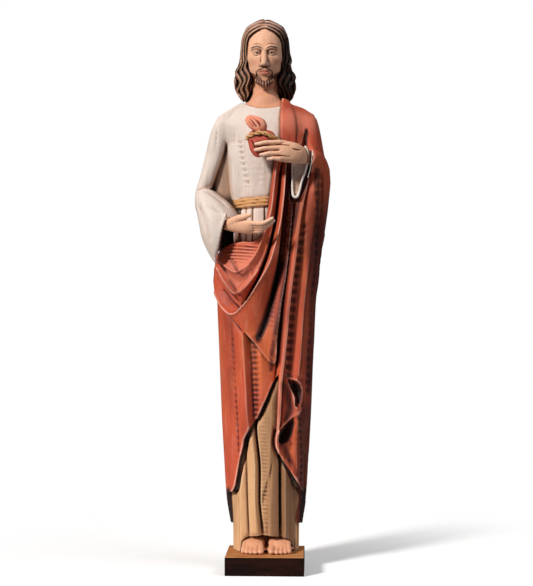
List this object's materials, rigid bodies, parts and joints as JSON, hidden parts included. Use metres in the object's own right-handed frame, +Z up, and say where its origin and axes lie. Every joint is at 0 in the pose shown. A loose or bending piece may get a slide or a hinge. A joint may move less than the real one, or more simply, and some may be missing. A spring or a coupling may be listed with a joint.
{
  "type": "sacred heart statue",
  "caption": "Tall, slim carved and painted wooden figure in a tunic and a wrapped mantle, holding a heart, on a low rectangular plinth.",
  "frame": {"origin": "centre of the plinth's underside", "axes": "+Z up the figure, -Y the way it faces, +X to a viewer's right"},
  "size_m": [0.2487, 0.1571, 0.9996],
  "materials": {
    "painted_wood": "oil-painted and glazed limewood, satin",
    "stained_wood": "dark stained wood, satin"
  },
  "bodies": {
    "root": {"figure": "painted_wood", "plinth": "stained_wood"}
  },
  "joints": []
}
